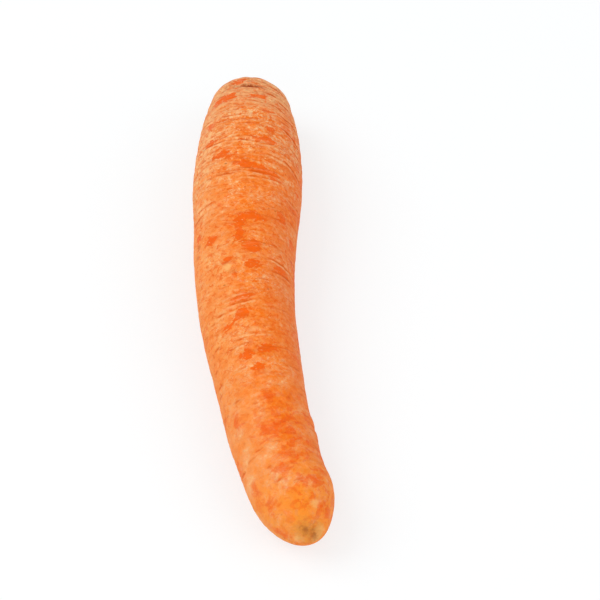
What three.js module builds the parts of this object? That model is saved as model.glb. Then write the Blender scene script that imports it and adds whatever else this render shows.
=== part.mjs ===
// A carrot lying on its side: one root, grown in one piece, trimmed at the crown.
// Millimetres, +Z up, crown towards +Y, tip towards -Y, underside resting on z = 0.
import * as THREE from "three";

// Where the centre line runs as seen from above: [x, y]. The bend is hollow on the +X side, deepest
// just past the middle, and sharper towards the tip.
const CENTRE_LINE = [
  [0, 86.5], [-4.5, 40], [-8.5, 5], [-9.5, -15], [-7, -50], [-3.5, -75], [3, -97.5],
];

// How thick the root is: [distance from the crown, radius]. It swells behind the crown, narrows
// evenly past the middle, and then hardly at all before the blunt tip.
const THICKNESS = [
  [0, 12.5], [20, 16.5], [45, 18.8], [80, 17], [120, 14.8], [150, 13], [185, 12.5],
];

// The rounded ends.
const SHOULDER_REACH = 9;
const TIP_REACH = 18;
const TIP_BLUNTNESS = 0.55;

// The scar the leaves left on the crown: a shallow dish with the cut stump of their stalks in it.
const SCAR_RADIUS = 6.5;
const SCAR_DEPTH = 1.6;
const STUMP_RADIUS = 3;
const STUMP_HEIGHT = 1;

// The crown droops a little, since nothing holds it up past the thickest part.
const DROOP = 3;
const DROOP_REACH = 56;

// The underside is pressed flat in a narrow strip, so that the root lies still.
const FLAT_DEPTH = 0.35;

// The root isn't quite round: an oval and a three-sided swelling that turn slowly along it.
const OVAL = 0.012;
const OVAL_TURN = 0.018;
const TRIANGLE = 0.01;
const TRIANGLE_TURN = -0.03;

// Growth creases that run round the root: [distance from the crown, depth, where it is deepest].
const CREASES = [
  [13, 0.4, 80], [20, 0.25, 20], [27, 0.35, 60], [33, 0.2, 140], [39, 0.3, 10], [45, 0.35, 110],
  [52, 0.25, 40], [58, 0.4, 70], [71, 0.25, 160], [85, 0.2, 30], [110, 0.3, 120], [134, 0.25, 70],
];
const CREASE_HALF_WIDTH = 1;

// Swellings (+) and dents (-): [distance from the crown, direction in degrees, reach, height].
const LUMPS = [
  [66, 180, 6, -0.3], [151, 5, 6, 0.8], [142, 10, 5, -0.2], [146, 175, 8, 0.5],
  [100, 60, 12, 0.3], [118, 130, 9, -0.3], [172, 15, 6, 0.3],
  [177, 190, 7, -0.6], [181, 10, 4, -0.8],
];

// How finely the surface is divided.
const SEGMENTS = 40;
const RING_SPACING = 4;

const SKIN = { color: 0xf0833c, roughness: 0.6, metalness: 0 };

// A smooth curve through [position, value] pairs.
function curveThrough(pairs) {
  const positions = pairs.map((pair) => pair[0]);
  const values = pairs.map((pair) => pair[1]);
  const curve = new THREE.CubicInterpolant(positions, values, 1);
  return (position) => curve.evaluate(position)[0];
}

const thicknessAt = curveThrough(THICKNESS);

const centreLine = new THREE.CatmullRomCurve3(
  CENTRE_LINE.map(([x, y]) => new THREE.Vector3(x, y, 0)),
  false,
  "centripetal",
);

// Length along the centre line, from the rim of the crown to the tip.
const LENGTH = centreLine.getLength();

// Goes from 0 at the very end to 1 where the rounding stops.
function rounding(distance, reach, power) {
  if (distance >= reach) return 1;
  return Math.pow(1 - Math.pow(1 - distance / reach, 2), power);
}

// The radius of the root at a distance from the crown, before creases and lumps.
function radiusAt(along) {
  const shoulder = rounding(along, SHOULDER_REACH, 0.5);
  const tip = rounding(LENGTH - along, TIP_REACH, TIP_BLUNTNESS);
  return (SCAR_RADIUS + (thicknessAt(along) - SCAR_RADIUS) * shoulder) * tip;
}

// The height of the centre line above the table.
function heightAt(along) {
  const lying = thicknessAt(Math.max(along, DROOP_REACH)) - FLAT_DEPTH;
  const past = Math.max(0, 1 - along / DROOP_REACH);
  return lying - DROOP * past * past;
}

// Where the rings of the mesh go: a steady spacing, with three rings to each crease.
function ringPositions() {
  const near = (along) => CREASES.some(([at]) => Math.abs(at - along) < CREASE_HALF_WIDTH * 2);
  const steady = [];
  for (let along = 8; along < LENGTH - TIP_REACH; along += RING_SPACING) {
    if (!near(along)) steady.push(along);
  }
  const folded = CREASES.flatMap(([at]) => [at - CREASE_HALF_WIDTH, at, at + CREASE_HALF_WIDTH]);
  const shoulder = [0, 0.3, 1.1, 2.5, 4.4, 6.6];
  const tip = [0, 2.5, 5, 7.5, 10, 12, 14, 15.5, 16.7, 17.5].map((step) => LENGTH - TIP_REACH + step);
  return [...shoulder, ...steady, ...folded, ...tip].sort((a, b) => a - b);
}

// The outline that is turned about the axis: [radius, distance from the crown], axis to axis.
function outline() {
  const scar = [
    new THREE.Vector2(0, SCAR_DEPTH - STUMP_HEIGHT),
    new THREE.Vector2(STUMP_RADIUS * 0.85, SCAR_DEPTH - STUMP_HEIGHT * 0.9),
    new THREE.Vector2(STUMP_RADIUS * 1.1, SCAR_DEPTH),
    new THREE.Vector2(SCAR_RADIUS * 0.7, SCAR_DEPTH * 0.9),
    new THREE.Vector2(SCAR_RADIUS * 0.88, SCAR_DEPTH * 0.35),
  ];
  const skin = ringPositions().map((along) => new THREE.Vector2(radiusAt(along), along));
  return [...scar, ...skin, new THREE.Vector2(0, LENGTH)].reverse();
}

// How deep the creases are at a place on the skin.
function creaseDepth(along, angle) {
  let depth = 0;
  for (const [at, deepest, facing] of CREASES) {
    const across = Math.max(0, 1 - Math.abs(along - at) / CREASE_HALF_WIDTH);
    const round = 0.6 + 0.4 * Math.cos(angle - THREE.MathUtils.degToRad(facing));
    depth += deepest * across * round;
  }
  return depth;
}

// How far the lumps stand out at a place on the skin.
function lumpHeight(along, angle, radius) {
  let height = 0;
  for (const [at, facing, reach, rise] of LUMPS) {
    const turn = angle - THREE.MathUtils.degToRad(facing);
    const aside = 2 * radius * Math.sin(turn / 2);
    height += rise * Math.exp(-((along - at) ** 2 + aside ** 2) / reach ** 2);
  }
  return height;
}

// The factor that makes a round section slightly oval and slightly three-sided.
function sectionFactor(along, angle) {
  const oval = OVAL * Math.cos(2 * angle + OVAL_TURN * along);
  const triangle = TRIANGLE * Math.cos(3 * angle + TRIANGLE_TURN * along);
  return 1 + oval + triangle;
}

// Moves one point of the straight turned body to its place on the bent, lying root.
function place(point) {
  const along = point.y;
  const angle = Math.atan2(point.z, point.x);
  const straight = Math.hypot(point.x, point.z);
  const share = Math.min(1, straight / SCAR_RADIUS);
  const relief = lumpHeight(along, angle, straight) - creaseDepth(along, angle);
  const radius = straight * sectionFactor(along, angle) + relief * share * share;
  const centre = centreLine.getPointAt(Math.min(1, along / LENGTH));
  const forward = centreLine.getTangentAt(Math.min(1, along / LENGTH));
  const aside = radius * Math.cos(angle);
  const up = radius * Math.sin(angle);
  point.set(
    centre.x - forward.y * aside,
    centre.y + forward.x * aside,
    Math.max(0, heightAt(along) + up),
  );
}

// Sets the finished body so that its box is centred on the origin and stands on z = 0.
function settle(geometry) {
  geometry.computeBoundingBox();
  const box = geometry.boundingBox;
  const middle = box.getCenter(new THREE.Vector3());
  geometry.translate(-middle.x, -middle.y, -box.min.z);
}

function carrotGeometry() {
  const geometry = new THREE.LatheGeometry(outline(), SEGMENTS);
  const positions = geometry.getAttribute("position");
  const point = new THREE.Vector3();
  for (let index = 0; index < positions.count; index += 1) {
    point.fromBufferAttribute(positions, index);
    place(point);
    positions.setXYZ(index, point.x, point.y, point.z);
  }
  settle(geometry);
  geometry.computeVertexNormals();
  return geometry;
}

const carrot = new THREE.Mesh(carrotGeometry(), new THREE.MeshStandardMaterial(SKIN));
carrot.name = "carrot";

const part = new THREE.Group();
part.add(carrot);

export default part;
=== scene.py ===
"""Dresses a carrot that lies on its side on a pale table.

The root grew as one piece, so it is one piece here. Its rings are extruded along the bent centre line
of the solid, drawn onto the solid, and then given creases, wrinkles, pits and the two scars.
"""

import logging
import math
from dataclasses import dataclass, field
from enum import Enum
from functools import partial, reduce
from itertools import pairwise

import bpy
import numpy as np
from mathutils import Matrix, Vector

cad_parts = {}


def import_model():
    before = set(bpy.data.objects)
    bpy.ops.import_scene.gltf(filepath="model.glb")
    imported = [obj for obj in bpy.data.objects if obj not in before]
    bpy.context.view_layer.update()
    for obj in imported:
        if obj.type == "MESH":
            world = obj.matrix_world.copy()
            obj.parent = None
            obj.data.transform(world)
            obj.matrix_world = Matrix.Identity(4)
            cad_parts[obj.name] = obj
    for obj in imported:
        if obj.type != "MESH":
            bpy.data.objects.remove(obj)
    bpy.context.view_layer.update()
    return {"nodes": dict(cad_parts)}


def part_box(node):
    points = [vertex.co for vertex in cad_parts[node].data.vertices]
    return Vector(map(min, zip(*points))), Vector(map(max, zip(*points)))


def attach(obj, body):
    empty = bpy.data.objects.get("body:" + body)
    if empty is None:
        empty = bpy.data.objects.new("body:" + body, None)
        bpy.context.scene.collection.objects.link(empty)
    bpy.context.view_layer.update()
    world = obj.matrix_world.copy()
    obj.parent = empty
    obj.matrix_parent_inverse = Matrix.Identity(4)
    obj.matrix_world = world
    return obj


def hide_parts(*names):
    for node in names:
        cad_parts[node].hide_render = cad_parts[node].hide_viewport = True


MM = 0.001
JOIN_REACH = 0.01 * MM
LOG = logging.getLogger("carrot")

Colour = tuple[float, float, float, float]
Socket = bpy.types.NodeSocket


def paint(red: int, green: int, blue: int) -> Colour:
    """A colour as the shaders want it.

    Args:
        red: The red as it shows on a screen, 0 to 255.
        green: The green, in the same way.
        blue: The blue, in the same way.

    Returns:
        The linear colour with full opacity.
    """
    shown = (red / 255, green / 255, blue / 255)
    linear = [c / 12.92 if c <= 0.04045 else ((c + 0.055) / 1.055) ** 2.4 for c in shown]
    return (linear[0], linear[1], linear[2], 1.0)


def let_go() -> None:
    """Leaves edit mode, with nothing selected."""
    if bpy.context.object and bpy.context.object.mode != "OBJECT":
        bpy.ops.object.mode_set(mode="OBJECT")
    bpy.ops.object.select_all(action="DESELECT")


def take(piece: bpy.types.Object, mode: str = "OBJECT") -> None:
    """Makes a piece the only selected and active one.

    Args:
        piece: The piece to work on.
        mode: OBJECT, or EDIT to go straight into its mesh.
    """
    let_go()
    piece.select_set(True)
    bpy.context.view_layer.objects.active = piece
    bpy.ops.object.mode_set(mode=mode)


def soft_step(values: np.ndarray, low: float, high: float) -> np.ndarray:
    """A soft switch.

    Args:
        values: What to switch on.
        low: Where it is fully off.
        high: Where it is fully on, which may lie below low.

    Returns:
        Numbers from 0 to 1.
    """
    share = np.clip((values - low) / (high - low), 0, 1)
    return share * share * (3 - 2 * share)


class Grain:
    """Smooth seeded noise from about -1 to 1, read at many points at once."""

    CELLS = 256
    GAIN = 1.6

    def __init__(self, seed: int) -> None:
        """Shuffles the slopes that the noise is made of.

        Args:
            seed: Chooses one noise out of many.
        """
        dice = np.random.default_rng(seed)
        self.order = np.tile(dice.permutation(self.CELLS), 3)
        slopes = dice.normal(size=(self.CELLS, 3))
        self.slopes = slopes / np.linalg.norm(slopes, axis=1)[:, None]

    def at(self, points: np.ndarray, around: float, along: float) -> np.ndarray:
        """Reads the noise.

        Args:
            points: Unbent points, in millimetres.
            around: How wide one cell of the noise is across the root, in millimetres.
            along: How long one cell is along the root, in millimetres.

        Returns:
            One value for each point.
        """
        scaled = points / (around, along, around)
        cell = np.floor(scaled).astype(int)
        inside = scaled - cell
        ease = inside**3 * (inside * (inside * 6 - 15) + 10)
        total = np.zeros(len(points))
        for corner in np.ndindex(2, 2, 2):
            at = (cell + corner) % self.CELLS
            slope = self.slopes[self.order[self.order[self.order[at[:, 0]] + at[:, 1]] + at[:, 2]]]
            share = np.prod(np.where(corner, ease, 1 - ease), axis=1)
            total += share * np.einsum("ij,ij->i", slope, inside - corner)
        return total * self.GAIN


class Surface:
    """Unbent points of the skin, in millimetres."""

    def __init__(self, points: np.ndarray) -> None:
        """Works out how far along the root and how far round it the points lie.

        Args:
            points: How far each is aside of the centre line, along from the crown, and up.
        """
        self.points = points
        self.along = points[:, 1]
        self.angle = np.arctan2(points[:, 2], points[:, 0])
        self.radius = np.hypot(points[:, 2], points[:, 0])

    def turn_from(self, facing: float) -> np.ndarray:
        """How far round from a facing the points lie, in radians, at most half a turn either way."""
        return (self.angle - facing + math.pi) % (2 * math.pi) - math.pi


@dataclass(frozen=True)
class Ripple:
    """Unevenness of one scale: how strong it is, and the size of its cells in millimetres."""

    seed: int
    strength: float
    around: float
    along: float

    def at(self, points: np.ndarray) -> np.ndarray:
        """Its value at unbent points, from about -strength to strength."""
        return self.strength * Grain(self.seed).at(points, self.around, self.along)


def bell(offset: np.ndarray, width: float) -> np.ndarray:
    """A soft hump: 1 in its middle, and about a third at its width from there."""
    return np.exp(-((offset / width) ** 2))


def joined(solid: bpy.types.Object) -> bpy.types.Object:
    """A copy of a solid with its vertices joined, for rings to be read off and drawn onto.

    Args:
        solid: The CAD solid, which stays as it is.

    Returns:
        The copy.
    """
    copy = solid.copy()
    copy.data = solid.data.copy()
    copy.name = "mould"
    bpy.context.scene.collection.objects.link(copy)
    take(copy, "EDIT")
    bpy.ops.mesh.select_all(action="SELECT")
    bpy.ops.mesh.remove_doubles(threshold=JOIN_REACH)
    bpy.ops.object.mode_set(mode="OBJECT")
    return copy


class Spine:
    """The bent centre line of the root and its thickness, measured on the rings of its solid."""

    OVERRUN = 5 * MM
    HEADING_REACH = 3 * MM
    DEGREE = 13
    STEPS = 900
    UNBEND_PASSES = 6

    def __init__(self, mould: bpy.types.Object) -> None:
        """Runs smooth curves through the middles of the rings, from the crown's rim to the tip.

        Args:
            mould: The CAD solid of the root, with its vertices joined.
        """
        rings = self.rings(mould)
        middles = np.array([ring.mean(axis=0) for ring in rings])
        body = middles[: middles[:, 1].argmax() + 1]
        crown, tip = body[-1, 1], body[0, 1]
        self.y = np.linspace(crown + self.OVERRUN, tip - self.OVERRUN, self.STEPS)
        half = (crown - tip) / 2
        inner = np.clip(self.y, tip, crown) / half
        beyond = self.y / half - inner
        curves = [np.polyfit(body[:, 1] / half, body[:, axis], self.DEGREE) for axis in (0, 2)]
        self.x, self.z = (np.polyval(c, inner) + beyond * np.polyval(np.polyder(c), inner) for c in curves)
        self.along = np.concatenate([[0], np.cumsum(np.hypot(np.diff(self.x), np.diff(self.y)))])
        self.along -= self.unbend(np.vstack(rings))[:, 1].min()
        flat = [self.unbend(ring) for ring in reversed(rings)]
        self.profile = np.array([(f[:, 1].mean(), np.hypot(f[:, 0], f[:, 2]).mean()) for f in flat])
        self.length = float(self.profile[-1, 0])

    def rings(self, mould: bpy.types.Object) -> list[np.ndarray]:
        """Walks the solid ring by ring.

        Args:
            mould: The joined solid.

        Returns:
            The points of each ring, from the tip to the middle of the crown's scar.
        """
        points = np.array([v.co for v in mould.data.vertices])
        edges = np.array([e.vertices for e in mould.data.edges])
        poles = np.argsort(np.bincount(edges.ravel()))[-2:]
        front = np.arange(len(points)) == poles[points[poles, 1].argmin()]
        walked = np.zeros(len(points), dtype=bool)
        rings = []
        while front.any():
            rings.append(points[front])
            walked |= front
            reached = np.zeros(len(points), dtype=bool)
            reached[edges[front[edges].any(axis=1)]] = True
            front = reached & ~walked
        return rings

    def centre(self, along: np.ndarray) -> np.ndarray:
        """Points on the centre line, one row each, at distances from the crown."""
        return np.stack([np.interp(along, self.along, c) for c in (self.x, self.y, self.z)], axis=-1)

    def forward(self, along: np.ndarray) -> np.ndarray:
        """The way the centre line heads in plan, towards the tip.

        Args:
            along: Distances from the crown.

        Returns:
            One direction a row, one long.
        """
        last = self.along[-1] - self.HEADING_REACH
        start = np.clip(along - self.HEADING_REACH / 2, self.along[0], last)
        line = (self.centre(start + self.HEADING_REACH) - self.centre(start))[..., :2]
        return line / np.linalg.norm(line, axis=-1, keepdims=True)

    def unbend(self, points: np.ndarray) -> np.ndarray:
        """Where points would be if the root were straight.

        Args:
            points: Places on or near the bent root, one row each.

        Returns:
            For each point how far it is aside, along from the crown, and up, from the centre line.
        """
        along = np.interp(-points[:, 1], -self.y, self.along)
        for _ in range(self.UNBEND_PASSES):
            offset = points[:, :2] - self.centre(along)[:, :2]
            along = along + np.einsum("ij,ij->i", offset, self.forward(along))
        heading = self.forward(along)
        offset = points[:, :2] - self.centre(along)[:, :2]
        aside = offset[:, 1] * heading[:, 0] - offset[:, 0] * heading[:, 1]
        return np.stack([aside, along, points[:, 2] - self.centre(along)[:, 2]], axis=1)


@dataclass(frozen=True)
class Crease:
    """A growth crease that runs part of the way round the root, in millimetres and degrees.

    Its span is how far it runs to either side of its facing, and its lean how much further from the
    crown it lies for each degree round the root. Dark and pale are the shares of colour in its
    valley and on its lips: the dark is painted shade over the crease's own brown, the pale a painted
    highlight.
    """

    along: float
    facing: float
    span: float
    depth: float
    dark: float = 0.5
    pale: float = 0.5
    width: float = 0.55
    lean: float = 0.0


@dataclass(frozen=True)
class Patch:
    """A place of another colour on the skin, turned by its lean, in millimetres and degrees."""

    along: float
    around: float
    wide: float
    long: float
    lean: float = 0.0


class Field(Enum):
    """The values that the finish reads off the surface."""

    UNBENT = "unbent"
    BARE = "bare"
    BLUSH = "blush"
    # Painted shade over the brown of the crease valleys and the pits.
    FOLD = "fold"
    # A painted highlight on the lips of the creases.
    LIP = "lip"
    PALE = "pale"
    GOLD = "gold"
    STAIN = "stain"
    STALK = "stalk"


@dataclass
class Skin:
    """What the surface of the root carries: creases, patches, wrinkles, pits and scars.

    Sizes are in millimetres.

    Places are told by how far along from the crown they are, and by how far round they face:
    0 degrees is the side towards +X, 90 is the top, and 180 the side towards -X.
    """

    # One short deep fold on top of the crown, a stack of slanting ones down its right side, then
    # fewer and shallower ones, and one deep one over the knob low on the right.
    creases: tuple[Crease, ...] = (
        Crease(12.5, 90, 15, 0.40, 1.0, 0.3, 0.6),
        Crease(11, 60, 40, 0.18, 0.6),
        Crease(10, 45, 25, 0.18, 1.1, 0.5, 0.5, -0.06),
        Crease(16, 50, 30, 0.22, 1.1, 0.8, 0.6),
        Crease(20, 20, 40, 0.28, 1.3, 0.9, 0.6, -0.03),
        Crease(24, 35, 25, 0.20, 1.0, 0.9, 0.5, -0.06),
        Crease(24, 95, 60, 0.14, 0.4, 0.6),
        Crease(28, 25, 35, 0.28, 1.3, 0.9, 0.6, -0.08),
        Crease(32, -5, 35, 0.22, 0.9, 0.9, 0.6, -0.03),
        Crease(30, 105, 25, 0.14, 0.6, 0.3),
        Crease(36, 30, 30, 0.28, 1.4, 0.9, 0.6, -0.12),
        Crease(36, 90, 25, 0.14, 0.7, 0.5),
        Crease(44, 15, 30, 0.20, 1.0, 0.7, 0.5, -0.09),
        Crease(43, 135, 35, 0.22, 0.8, 0.5),
        Crease(44, 85, 40, 0.18, 0.5, 0.8),
        Crease(50, 60, 45, 0.14, 0.4, 0.9),
        Crease(51, 30, 25, 0.24, 1.2, 0.8, 0.6, -0.12),
        Crease(58, 75, 45, 0.26, 0.6, 1.0, 0.7),
        Crease(60, 70, 35, 0.18, 0.6, 0.8),
        Crease(64, 20, 30, 0.16, 0.5),
        Crease(71, 165, 50, 0.20, 0.6),
        Crease(86, 25, 40, 0.18, 0.6),
        Crease(92, 40, 35, 0.20, 0.5, 1.0),
        Crease(96, 40, 25, 0.20, 0.9, 0.6),
        Crease(105, 105, 35, 0.16, 0.3, 1.0),
        Crease(108, 100, 30, 0.16, 0.4, 1.0),
        Crease(111, 120, 25, 0.14, 0.3, 0.9),
        Crease(120, 90, 30, 0.14, 0.3, 1.0),
        Crease(134, 75, 30, 0.14, 0.3, 0.9),
        Crease(150, 5, 40, 0.60, 0.4, 0.4, 1.3),
        Crease(160, 175, 30, 0.18),
        Crease(166, 70, 40, 0.16, 0.2, 0.3),
    )
    # Where the dry veil is rubbed off: the patches that catch the eye. The finish adds small ones.
    bare_patches: tuple[Patch, ...] = (
        # The crown: one on its top, a broad one to the left, and one to the right.
        Patch(9, 105, 5, 3),
        Patch(19, 120, 10, 4, 15),
        Patch(19, 75, 7, 3),
        # Down the right of the thickest part, small ones one below the other.
        Patch(27, 65, 4, 2),
        Patch(37, 65, 4, 3),
        Patch(43, 65, 6, 3, -15),
        Patch(43, 80, 8, 2),
        # Down its left side, and a long broken band across its lower end.
        Patch(32, 135, 4, 3),
        Patch(42, 130, 7, 2),
        Patch(50, 115, 7, 3),
        Patch(55, 90, 8, 3),
        Patch(57, 75, 5, 3),
        Patch(58, 60, 9, 3, -10),
        # The hook on top of the middle: a bar, and a leg down from its left end.
        Patch(76, 82, 9, 4),
        Patch(78, 93, 5, 5),
        Patch(83, 95, 4, 7),
        # Two below it, and those to either side.
        Patch(88, 80, 6, 5),
        Patch(95, 80, 5, 4),
        Patch(73, 45, 4, 4),
        Patch(83, 130, 4, 3),
        Patch(79, 150, 4, 3),
        Patch(92, 110, 4, 2),
        Patch(95, 45, 6, 3),
        # The last ones, past the middle.
        Patch(107, 95, 7, 3),
        Patch(112, 100, 4, 4),
        Patch(115, 115, 6, 2, 24),
        Patch(126, 80, 7, 3),
        Patch(127, 105, 4, 3, -15),
        Patch(132, 90, 5, 2),
    )
    # Redder flesh: the top past the knob, both sides of the tip, and the right flank.
    blush_patches: tuple[Patch, ...] = (
        Patch(142, 90, 4, 4),
        Patch(147, 140, 4, 6),
        Patch(153, 90, 15, 6),
        Patch(158, 60, 7, 3),
        Patch(163, 80, 9, 4),
        Patch(167, 100, 6, 5),
        Patch(172, 60, 9, 4),
        Patch(180, 45, 5, 5),
        Patch(168, 150, 4, 6),
        Patch(174, 140, 5, 5),
        Patch(158, 170, 4, 5),
        Patch(180, 180, 4, 5),
        Patch(34, 25, 16, 5),
        Patch(52, 10, 9, 4, 20),
        Patch(66, 20, 14, 4),
        Patch(118, 15, 12, 4, -15),
        Patch(127, 30, 8, 3),
    )
    # A pale scab on top of the middle, and pale spots on the tip.
    pale_patches: tuple[Patch, ...] = (
        Patch(95, 110, 3, 3),
        Patch(184, 160, 3, 2),
        Patch(179, 70, 3, 2),
        Patch(185, 50, 4, 3),
        Patch(183, 265, 4, 3),
    )
    # The golden end of the tip.
    golden_patches: tuple[Patch, ...] = (
        Patch(180, 100, 11, 8),
        Patch(184, 130, 8, 5),
        Patch(184, 55, 7, 5),
        Patch(184, 280, 9, 6),
    )
    # Dark marks: the fold on the crown, the scar of the root tail, and small ones in the middle.
    stains: tuple[Patch, ...] = (
        Patch(12.5, 90, 7, 1.3),
        Patch(184, 115, 2, 1.5),
        Patch(185, 100, 1.5, 1.2),
        Patch(185, 80, 1.2, 1),
        Patch(82, 150, 1.6, 1.6),
        Patch(85, 155, 1.6, 1.2),
        Patch(93, 110, 1.6, 0.7),
        Patch(97, 105, 1.3, 0.6),
    )
    # What is drawn at random: how many there are of each, and what the draws start from.
    fine_creases: int = 150
    hidden_patches: int = 60
    pits: int = 150
    seed: int = 7
    pit_seed: int = 31
    # How the skin is uneven between them.
    pit_depth: float = 0.3
    broad_lumps: Ripple = Ripple(21, 0.22, 14, 18)
    small_lumps: Ripple = Ripple(22, 0.10, 5, 6)
    ridges: Ripple = Ripple(11, 2.2, 10, 1.6)
    ridge_height: float = 0.20
    fine_wrinkles: Ripple = Ripple(12, 0.10, 4.5, 1.1)
    # The creases: the first one's noise, how far along the root one is felt, how deep they all lie,
    # how much its upper edge swells, and where the painted highlight on its lips lies and how wide it is.
    crease_seed: int = 100
    crease_reach: float = 6
    crease_gain: float = 1.4
    brow_share: float = 0.35
    lip_offset: float = 0.85
    lip_width: float = 0.36
    # How the outlines of patches are frayed: round the root, then along it.
    frays: tuple[tuple[Ripple, Ripple], ...] = (
        (Ripple(61, 1, 3.6, 2.4), Ripple(63, 0.5, 1.5, 1.1)),
        (Ripple(62, 0.8, 3.0, 2.0), Ripple(64, 0.4, 1.4, 1.0)),
    )
    # What a point far from every patch reads.
    far_outside: float = -6.0
    # The cut leaf stalks: how far out each ring of them stands and how many it has, their outline,
    # their bow, their height, the hollow in them, the scar between them, and how torn they are.
    stalk_rings: tuple[tuple[float, int], ...] = ((0.0, 1), (2.3, 4), (4.7, 7))
    stalk_seed: int = 43
    stalk_outline: tuple[Ripple, Ripple] = (Ripple(41, 0.40, 1.8, 8), Ripple(44, 0.10, 1.0, 8))
    stalk_bow: float = 0.12
    stalk_height: float = 0.46
    stalk_hollow: float = 0.08
    scar_depth: float = 0.34
    torn: Ripple = Ripple(42, 0.05, 1.2, 2.5)
    # The folds over the shoulder, and the scar of the root tail.
    shoulder: Ripple = Ripple(45, 1, 2.4, 2.4)
    shoulder_depth: float = 0.30
    tail: Vector = field(default_factory=lambda: Vector((-0.4, 184.7, 4.2)))
    tail_twist: Ripple = Ripple(51, 5, 2.4, 2.4)
    tail_folds: int = 5
    tail_pit_depth: float = 0.7
    tail_fold_depth: float = 0.35

    def all_creases(self) -> list[Crease]:
        """Draws the fine creases, which crowd towards the crown.

        Returns:
            The named creases and the fine ones.
        """
        dice = np.random.default_rng(self.seed)
        fine = []
        for _ in range(self.fine_creases):
            along = 6 + 168 * dice.random() ** 1.7
            facing, span = 360 * dice.random(), 10 + 30 * dice.random()
            depth = (0.07 + 0.17 * dice.random()) * (1.1 - along / 200)
            dark, pale = 0.15 + 0.50 * dice.random(), 0.35 * dice.random()
            fine.append(Crease(along, facing, span, depth, dark, pale, 0.42))
        return [*self.creases, *fine]

    def all_bare_patches(self) -> list[Patch]:
        """Draws more bare patches round the far side and underneath.

        Returns:
            The named ones and these.
        """
        dice = np.random.default_rng(self.seed + 1)
        others = []
        for _ in range(self.hidden_patches):
            along, around = 10 + 150 * dice.random(), 165 + 220 * dice.random()
            wide, long = 2.5 + 7 * dice.random() ** 2, 1.6 + 2.6 * dice.random()
            others.append(Patch(along, around, wide, long, 30 * dice.random() - 15))
        return [*self.bare_patches, *others]

    def patch_fields(self) -> dict[Field, tuple[list[Patch], float]]:
        """Sorts the patches by what they mean to the finish.

        Returns:
            The patches of each field, and how uneven their outlines are, in millimetres.
        """
        return {
            Field.BARE: (self.all_bare_patches(), 1.1),
            Field.BLUSH: (list(self.blush_patches), 1.4),
            Field.PALE: (list(self.pale_patches), 0.3),
            Field.GOLD: (list(self.golden_patches), 1.2),
            Field.STAIN: (list(self.stains), 0.3),
        }

    def fold_fields(self, surface: Surface) -> tuple[np.ndarray, np.ndarray, np.ndarray]:
        """How the creases sink the skin, and the shade and highlight painted on them.

        Args:
            surface: The unbent points.

        Returns:
            How deep the skin lies in millimetres, how dark the valleys are, as painted shade over their
            brown, and how pale the lips are, as a painted highlight.
        """
        depth, fold, lip = np.zeros((3, len(surface.along)))
        for number, crease in enumerate(self.all_creases()):
            turn = np.degrees(surface.turn_from(math.radians(crease.facing)))
            reach = soft_step(abs(turn), crease.span, crease.span * 0.3)
            ahead = surface.along - crease.along - crease.lean * turn
            close = np.nonzero((reach > 0) & (abs(ahead) < self.crease_reach))[0]
            if not len(close):
                continue
            points, grain = surface.points[close], Grain(self.crease_seed + number)
            wander = 1.1 * grain.at(points, 13, 40) + 0.28 * grain.at(points, 3.1, 9)
            off = ahead[close] - wander
            share = reach[close] * (0.65 + 0.5 * grain.at(points + 50, 5, 30))
            valley = bell(off, crease.width)
            brow = bell(off + 2.0 * crease.width, 1.1 * crease.width)
            line = bell(off, 0.16 + 0.34 * crease.width)
            lips = bell(off - self.lip_offset, self.lip_width)
            lips = lips + 0.6 * bell(off + self.lip_offset, self.lip_width)
            depth[close] += self.crease_gain * crease.depth * share * (valley - self.brow_share * brow)
            # Painted shade over the crease's brown in its valley, and a painted highlight on its lips.
            fold[close] = np.maximum(fold[close], crease.dark * share * line)
            lip[close] = np.maximum(lip[close], crease.pale * share * lips)
        return depth, np.clip(fold, 0, 1), np.clip(lip, 0, 1)

    def patch_reach(self, surface: Surface, patches: list[Patch], wobble: float) -> np.ndarray:
        """How far inside the nearest patch each point is.

        Args:
            surface: The unbent points.
            patches: The patches.
            wobble: How uneven their outlines are, in millimetres.

        Returns:
            Millimetres, above 0 inside a patch and below 0 outside all of them.
        """
        points = surface.points
        swerve, drift = (wobble * (broad.at(points) + fine.at(points)) for broad, fine in self.frays)
        best = np.full(len(points), self.far_outside)
        for patch in patches:
            turn = surface.turn_from(math.radians(patch.around))
            side, down = turn * surface.radius + swerve, surface.along - patch.along + drift
            lean = math.radians(patch.lean)
            across = (side * math.cos(lean) + down * math.sin(lean)) / (patch.wide / 2)
            ahead = (down * math.cos(lean) - side * math.sin(lean)) / (patch.long / 2)
            inside = (1 - np.hypot(across, ahead)) * min(patch.wide, patch.long) / 2
            best = np.maximum(best, inside)
        return best

    def relief(self, surface: Surface) -> np.ndarray:
        """The shape of the skin besides its creases.

        Args:
            surface: The unbent points.

        Returns:
            How far out the skin stands at each point, in millimetres.
        """
        points, along = surface.points, surface.along
        lumps = self.broad_lumps.at(points) + self.small_lumps.at(points)
        ends = soft_step(along, 4, 14) * soft_step(along, self.tail.y, self.tail.y - 12)
        ridged = 1 - np.clip(abs(self.ridges.at(points)), 0, 1)
        worn = 0.3 + 0.7 * soft_step(along, 100, 30)
        wrinkles = (self.ridge_height * ridged - self.fine_wrinkles.at(points)) * worn
        out = (lumps - wrinkles - self.pit_depth * self.pits_at(surface)) * (0.25 + 0.75 * ends)
        return out + self.stalks(surface)[0] - self.shoulder_folds(surface) - self.tail_scar(surface)

    def shoulder_folds(self, surface: Surface) -> np.ndarray:
        """The folds that run from the leaf scar out over the shoulder.

        Args:
            surface: The unbent points.

        Returns:
            How deep they lie, in millimetres.
        """
        radius = surface.radius
        spread = surface.points * (9, 0.5, 9) / np.maximum(radius, 1)[:, None] ** (1, 0, 1)
        folds = np.clip(0.5 + self.shoulder.at(spread), 0, 1)
        return self.shoulder_depth * folds * soft_step(radius, 5.5, 8) * soft_step(surface.along, 9, 3)

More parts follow.
